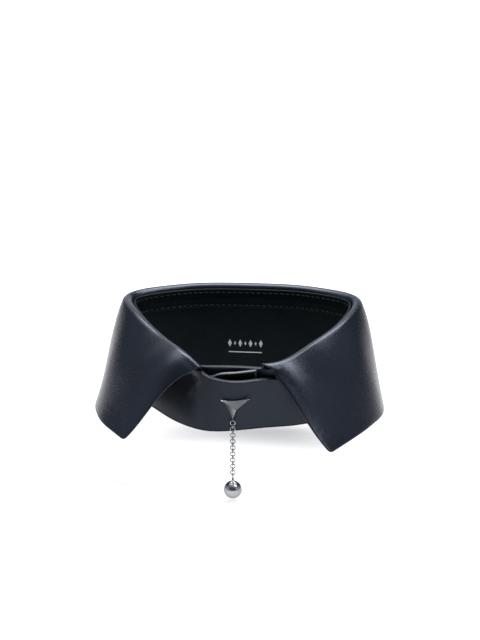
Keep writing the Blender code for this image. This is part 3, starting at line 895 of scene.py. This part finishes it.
studLook = {
    "left": (-7.8, 4.4),
    "right": (9.4, 5.4),
    "low": (-1.9, -8.8),
    "hollow": 1.3,
    "rim": 0.7,
    "point": 5.0,
    "centreX": 3.2,
    "centreZ": 17.1,
    "peakSide": 0.6,
    "turn": 2.5,
    "standoff": 0.4,
    "sideSteps": 24,
    "faceSteps": 10,
    "faceHollow": 0.05,
    "bevel": 0.22,
    "backBevel": 0.12,
    "cornerInset": 1.6,  # how much further a corner moves in than a side
    "seat": 5.2,  # how far from its middle the stud's lie on the stand is taken
    "searchSteps": 800,
    "sharpAngle": 22.0,
}

chainLook = {
    "outer": 3.17,
    "wire": 0.59,
    "pitch": 1.84,
    "count": 16,
    "eye": (2.1, -55.9, 7.4),
    "ringSteps": 36,
    "wireSteps": 12,
}

ballLook = {
    "radius": 5.0,
    "neckLength": 1.7,
    "neckRadius": 0.75,
    "turnSteps": 72,
    "bandSteps": 40,
    "neckOpening": 1.5,  # where the ball stops below its neck, in half widths of the neck
    "neckGap": 0.10,
    "neckTaper": (0.9, 0.85, 0.6),
    "neckRises": (0.3, 0.2),  # where the first two lie, above the neck's foot and below its top
    "neckCap": 0.05,
    "sharpAngle": 50.0,
}


def overlapPoint(look, side, climb):
    at = np.linspace(0.0, stationOf["leftStart"], look["searchSteps"])
    top, foot, _, _ = standFrame(at)
    share = (look["centreZ"] + climb - foot[:, 2]) / (top[:, 2] - foot[:, 2])
    line = foot + (top - foot) * share[:, None]
    return Vector(line[int(np.argmin(abs(line[:, 0] - look["centreX"] - side)))])


def studPlacement(look):
    half = look["seat"]
    middle = overlapPoint(look, 0.0, 0.0)
    xAxis = (overlapPoint(look, half, 0.0) - overlapPoint(look, -half, 0.0)).normalized()
    climb = overlapPoint(look, 0.0, half) - overlapPoint(look, 0.0, -half)
    zAxis = xAxis.cross(climb).normalized()
    yAxis = zAxis.cross(xAxis)
    place = Matrix((xAxis, yAxis, zAxis)).transposed().to_4x4()
    place = place @ Matrix.Rotation(math.radians(look["turn"]), 4, "Z")
    place.translation = (middle + zAxis * (layers["band"] / 2 + look["standoff"])) * mm
    return place


def skin(shape, loops):
    # faces from each loop of corners to the next
    for low, high in zip(loops[:-1], loops[1:]):
        for i in range(len(low)):
            j = (i + 1) % len(low)
            shape.faces.new((low[i], low[j], high[j], high[i]))


def addRing(shape, centre, faceOn, look):
    # a round ring of round wire, face on in the XZ plane or edge on in the YZ plane
    radius = (look["outer"] - look["wire"]) / 2
    grid = []
    for i in range(look["ringSteps"]):
        turn = 2 * math.pi * i / look["ringSteps"]
        loop = []
        for j in range(look["wireSteps"]):
            twist = 2 * math.pi * j / look["wireSteps"]
            reach = radius + look["wire"] / 2 * math.cos(twist)
            side = look["wire"] / 2 * math.sin(twist)
            a, b = reach * math.cos(turn), reach * math.sin(turn)
            spot = Vector((a, side, b)) if faceOn else Vector((side, a, b))
            loop.append(shape.verts.new((Vector(centre) + spot) * mm))
        grid.append(loop)
    skin(shape, grid + grid[:1])


def studOutline(look, inset, hollow):
    left, right, low = Vector(look["left"]), Vector(look["right"]), Vector(look["low"])
    centre = (left + right + low) / 3
    corners = [corner + (centre - corner).normalized() * inset * look["cornerInset"]
               for corner in (left, low, right)]
    points = []
    for start, end in zip(corners, corners[1:] + corners[:1]):
        side = end - start
        inward = Vector((-side.y, side.x)).normalized()
        for step in range(look["sideSteps"]):
            t = step / look["sideSteps"]
            points.append(start + side * t + inward * hollow * 4 * t * (1 - t))
    return points


def makeStud(look):
    shape = bmesh.new()
    place = studPlacement(look)
    bevel, back = look["bevel"], look["backBevel"]
    hollow = look["hollow"]
    insets = ((back, 0.0), (0.0, back), (0.0, look["rim"] - bevel), (bevel, look["rim"]))
    rings = [(studOutline(look, inset, hollow), high) for inset, high in insets]
    peak = Vector((look["peakSide"], 0.0))
    for step in range(1, look["faceSteps"]):
        t = step / look["faceSteps"]
        climb = look["rim"] + (look["point"] - look["rim"]) * (t - look["faceHollow"] * 4 * t * (1 - t))
        outline = studOutline(look, bevel, hollow * (1.0 - t))  # the faces flatten towards the peak
        rings.append(([p.lerp(peak, t) for p in outline], climb))
    loops = []
    for outline, high in rings:
        loops.append([shape.verts.new(place @ Vector((p.x * mm, p.y * mm, high * mm))) for p in outline])
    top = shape.verts.new(place @ Vector((peak.x * mm, peak.y * mm, look["point"] * mm)))
    shape.faces.new(list(reversed(loops[0])))
    skin(shape, loops)
    last = loops[-1]
    for corner, following in zip(last, last[1:] + last[:1]):
        shape.faces.new((corner, following, top))
    addRing(shape, chainLook["eye"], True, chainLook)
    mesh = finishedMesh(shape, "triangleStud")
    stud = addPiece("triangleStud", mesh, ["studMetal"])
    mesh.set_sharp_from_angle(angle=math.radians(look["sharpAngle"]))
    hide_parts("stud_triangle")
    return stud


def makeLink(number, look):
    shape = bmesh.new()
    x, y, z = look["eye"]
    addRing(shape, (x, y, z - look["pitch"] * number), number % 2 == 0, look)
    mesh = finishedMesh(shape, f"chainLink{number:02d}")
    link = addPiece(mesh.name, mesh, ["chainMetal"], body=f"link_{number:02d}")
    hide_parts(f"chain_link_{number:02d}")
    return link


def makeBall(look):
    # turned profile, from the underside of the ball round to the top of its neck
    x, y, z = chainLook["eye"]
    eyeZ = z - chainLook["pitch"] * (chainLook["count"] + 1)
    ringLow = chainLook["outer"] / 2
    ballZ = eyeZ - ringLow - look["neckLength"] - look["radius"]
    neckAngle = math.asin(look["neckRadius"] / look["radius"])
    profile = []
    for k in range(1, look["bandSteps"] + 1):
        angle = (math.pi - neckAngle * look["neckOpening"]) * k / look["bandSteps"]
        profile.append((look["radius"] * math.sin(angle), ballZ - look["radius"] * math.cos(angle)))
    neckFoot = ballZ + look["radius"] * math.cos(neckAngle) + look["neckGap"]
    neckTop = eyeZ - ringLow + chainLook["wire"] * 0.5
    heights = (neckFoot + look["neckRises"][0], neckTop - look["neckRises"][1], neckTop)
    profile.append((look["neckRadius"], neckFoot))
    profile += [(look["neckRadius"] * taper, high) for taper, high in zip(look["neckTaper"], heights)]
    shape = bmesh.new()
    bottom = shape.verts.new(Vector((x, y, ballZ - look["radius"])) * mm)
    top = shape.verts.new(Vector((x, y, neckTop + look["neckCap"])) * mm)
    loops = []
    for radius, high in profile:
        loop = []
        for i in range(look["turnSteps"]):
            turn = 2 * math.pi * i / look["turnSteps"]
            spot = Vector((x + radius * math.cos(turn), y + radius * math.sin(turn), high))
            loop.append(shape.verts.new(spot * mm))
        loops.append(loop)
    for i in range(look["turnSteps"]):
        j = (i + 1) % look["turnSteps"]
        shape.faces.new((bottom, loops[0][j], loops[0][i]))
        shape.faces.new((top, loops[-1][i], loops[-1][j]))
        for low, high in zip(loops[:-1], loops[1:]):
            shape.faces.new((low[i], low[j], high[j], high[i]))
    addRing(shape, (x, y, eyeZ), False, chainLook)
    mesh = finishedMesh(shape, "pendantBall")
    ball = addPiece("pendantBall", mesh, ["polishedMetal"], body="ball")
    mesh.set_sharp_from_angle(angle=math.radians(look["sharpAngle"]))
    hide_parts("pendant_ball")
    return ball


makeStud(studLook)
for number in range(1, chainLook["count"] + 1):
    makeLink(number, chainLook)
makeBall(ballLook)
print("metal pieces made")

stageLook = {
    "floorGap": 1.5,  # mm below the ball
    "floorSize": 9.0,
    "floorColour": (0.40, 0.40, 0.41),
    "floorPaler": 1.02,
    "floorSteps": 48,
    "floorRough": 0.9,
    "floorShine": 0.1,
    # the floor's glow is painted light, not a lamp
    "glow": (1.0, 1.0, 1.0),
    "glowLevel": 0.78,
    "backLevel": 1.12,
    "backReach": (0.40, 0.90),  # metres behind where the glow rises to that
    "paintedShadowMiddle": (0.0, 0.072, 0.0),  # metres; the floor's glow is turned down round here, a painted shadow
    "paintedShadowLength": 0.62,  # stretched sideways
    "paintedShadowLevel": 0.22,
    "paintedShadowReach": (0.030, 0.064),
    "glowWidth": (0.155, 0.21),  # metres to each side where the glow fades
    "glowWidening": 0.14,  # it is wider further back
    "glowSlant": 0.109,  # and runs back to the left
    "glowEdge": 0.05,  # share of it left out there
    # the room's parts begin and end where a direction's x, y or z has these values
    "wallSpan": (0.84, 0.96),
    "wallTop": (0.45, 0.75),
    "sideSpan": (0.55, 0.85),
    "sideEnd": (-0.05, 0.70),
    "groundLevel": 0.10,
    "groundEdge": (0.0, 0.20),
    "ceilingSpan": (0.65, 0.85),
    "wallColour": (0.95, 1.0, 1.1),
    "sideColour": (0.52, 0.58, 0.69),
    "leftToRight": (0.92, 1.12),
    "windowColour": (0.70, 0.72, 0.78),  # a soft patch high behind, on the left
    "windowMiddle": (-0.396, 0.773, 0.495),
    "windowEdge": (0.90, 0.97),
    "ceilingColour": (0.38, 0.39, 0.41),
    "roomColour": (0.045, 0.048, 0.055),
}

cameraLook = {
    "azimuth": 6.2,
    "elevation": 21.0,
    "distance": 1100.0,
    "target": (0.0, -14.0, 17.0),
    "frameTall": 361.0,  # millimetres that the long side of the frame covers at the target
    "targetSide": -1.6,  # where the target sits from the frame's middle, to the right and up
    "targetUp": -33.2,
}

lampLook = {
    "above": dict(azimuth=180.0, elevation=72.0, distance=1.3, size=(1.1, 0.9), power=30.0),
    "right": dict(azimuth=82.0, elevation=57.0, distance=1.3, size=(0.42, 0.42), power=7.0),
    "left": dict(azimuth=-105.0, elevation=55.0, distance=1.3, size=(0.60, 0.50), power=3.2),
}


def backVector(azimuth, elevation):
    a, e = math.radians(azimuth), math.radians(elevation)
    return Vector((math.sin(a) * math.cos(e), -math.cos(a) * math.cos(e), math.sin(e)))


def makeFloor(look):
    low = min(cadBox[0].z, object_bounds()[0].z) - look["floorGap"] * mm
    half = look["floorSize"] / 2
    steps = look["floorSteps"]
    shape = bmesh.new()
    rim = []
    for i in range(steps):
        turn = 2 * math.pi * i / steps
        rim.append(shape.verts.new((half * math.cos(turn), half * math.sin(turn), low)))
    shape.faces.new(rim)
    mesh = bpy.data.meshes.new("paleFloor")
    shape.to_mesh(mesh)
    shape.free()
    material = bpy.data.materials.new("paleFloor")
    tree, shader = nodesOf(material)
    where = addNode(tree, "ShaderNodeTexCoord").outputs["Object"]
    paler = [c * look["floorPaler"] for c in look["floorColour"]]
    # the floor glows though it is no lamp, painted light round the object, with a painted shadow right under
    # it, less light far out to the sides and more far behind; this pattern is laid out for the front view
    # and shows in others
    # painted shadow: the glow is turned down near this spot on the floor
    fromPaintedShadow = vectorOf(tree, "SUBTRACT", where, look["paintedShadowMiddle"])
    stretched = vectorOf(tree, "MULTIPLY", fromPaintedShadow, (look["paintedShadowLength"], 1.0, 0.0))
    far = vectorOf(tree, "LENGTH", stretched, result="Value")
    rise = rangeOf(tree, far, look["paintedShadowLevel"], look["glowLevel"], *look["paintedShadowReach"])
    x, y, _ = addNode(tree, "ShaderNodeSeparateXYZ", {0: where}).outputs
    aside = mathOf(tree, "ABSOLUTE", mathOf(tree, "MULTIPLY_ADD", y, look["glowSlant"], x))
    wider = mathOf(tree, "MULTIPLY_ADD", y, -look["glowWidening"], aside)
    fade = rangeOf(tree, wider, 1.0, look["glowEdge"], *look["glowWidth"])
    back = rangeOf(tree, y, 1.0, look["backLevel"] / look["glowLevel"], *look["backReach"])
    feed(tree, shader, {
        "Base Color": mixOf(tree, noiseOf(tree, where, 3.0, 2.0), look["floorColour"], paler),
        "Roughness": look["floorRough"],
        "Specular IOR Level": look["floorShine"],
        "Emission Color": (*look["glow"], 1.0),
        "Emission Strength": mathOf(tree, "MULTIPLY", mathOf(tree, "MULTIPLY", rise, back), fade),
    })
    mesh.materials.append(material)
    addObject("paleFloor", mesh)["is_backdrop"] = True


def makeWorld(look):
    # a pale wall behind, grey ones at the sides, the room dim everywhere else
    world = bpy.data.worlds.new("studio")
    bpy.context.scene.world = world
    world.use_nodes = True
    tree = world.node_tree
    where = addNode(tree, "ShaderNodeTexCoord").outputs["Generated"]
    x, y, z = addNode(tree, "ShaderNodeSeparateXYZ", {0: where}).outputs
    behind = rangeOf(tree, y, 0.0, 1.0, *look["wallSpan"])
    low = rangeOf(tree, z, 1.0, 0.0, *look["wallTop"])
    beside = rangeOf(tree, mathOf(tree, "ABSOLUTE", x), 0.0, 1.0, *look["sideSpan"])
    toward = rangeOf(tree, y, 1.0, 0.0, *look["sideEnd"])
    sideways = mathOf(tree, "MULTIPLY", beside, toward)
    share = rangeOf(tree, x, *look["leftToRight"], -1.0, 1.0)
    lift = rangeOf(tree, z, look["groundLevel"], 1.0, *look["groundEdge"])
    level = mathOf(tree, "MULTIPLY", mathOf(tree, "MULTIPLY", low, lift), share)
    overhead = rangeOf(tree, z, 0.0, 1.0, *look["ceilingSpan"])
    bare = mixOf(tree, overhead, look["roomColour"], look["ceilingColour"])
    room = mixOf(tree, mathOf(tree, "MULTIPLY", sideways, level), bare, look["sideColour"])
    close = vectorOf(tree, "DOT_PRODUCT", where, look["windowMiddle"], result="Value")
    pane = rangeOf(tree, close, 0.0, 1.0, *look["windowEdge"])
    lit = mixOf(tree, pane, room, look["windowColour"])
    tone = mixOf(tree, mathOf(tree, "MULTIPLY", behind, low), lit, look["wallColour"])
    feed(tree, tree.nodes["Background"], {"Color": tone})


def makeLamps(rows, target):
    for name, row in rows.items():
        lamp = bpy.data.lights.new(name, "AREA")
        lamp.shape = "RECTANGLE"
        lamp.size, lamp.size_y = row["size"]
        lamp.energy = row["power"]
        holder = addObject(name, lamp)
        back = backVector(row["azimuth"], row["elevation"])
        holder.location = target + back * row["distance"]
        holder.rotation_euler = back.to_track_quat("Z", "Y").to_euler()


def makeCamera(look):
    data = bpy.data.cameras.new("studioCamera")
    camera = addObject("studioCamera", data)
    target = Vector(look["target"]) * mm
    back = backVector(look["azimuth"], look["elevation"])
    camera.location = target + back * look["distance"] * mm
    right = Vector((0.0, 0.0, 1.0)).cross(back).normalized()
    up = back.cross(right)
    aim = target - right * look["targetSide"] * mm - up * look["targetUp"] * mm
    camera.rotation_euler = (camera.location - aim).to_track_quat("Z", "Y").to_euler()
    data.lens = data.sensor_width / 2 / (look["frameTall"] / 2 / look["distance"])
    data.clip_end = 50.0
    bpy.context.scene.camera = camera


makeFloor(stageLook)
makeWorld(stageLook)
makeLamps(lampLook, Vector(cameraLook["target"]) * mm)
makeCamera(cameraLook)
bpy.context.scene.view_settings.view_transform = "Standard"
print("floor, lamps and camera made")
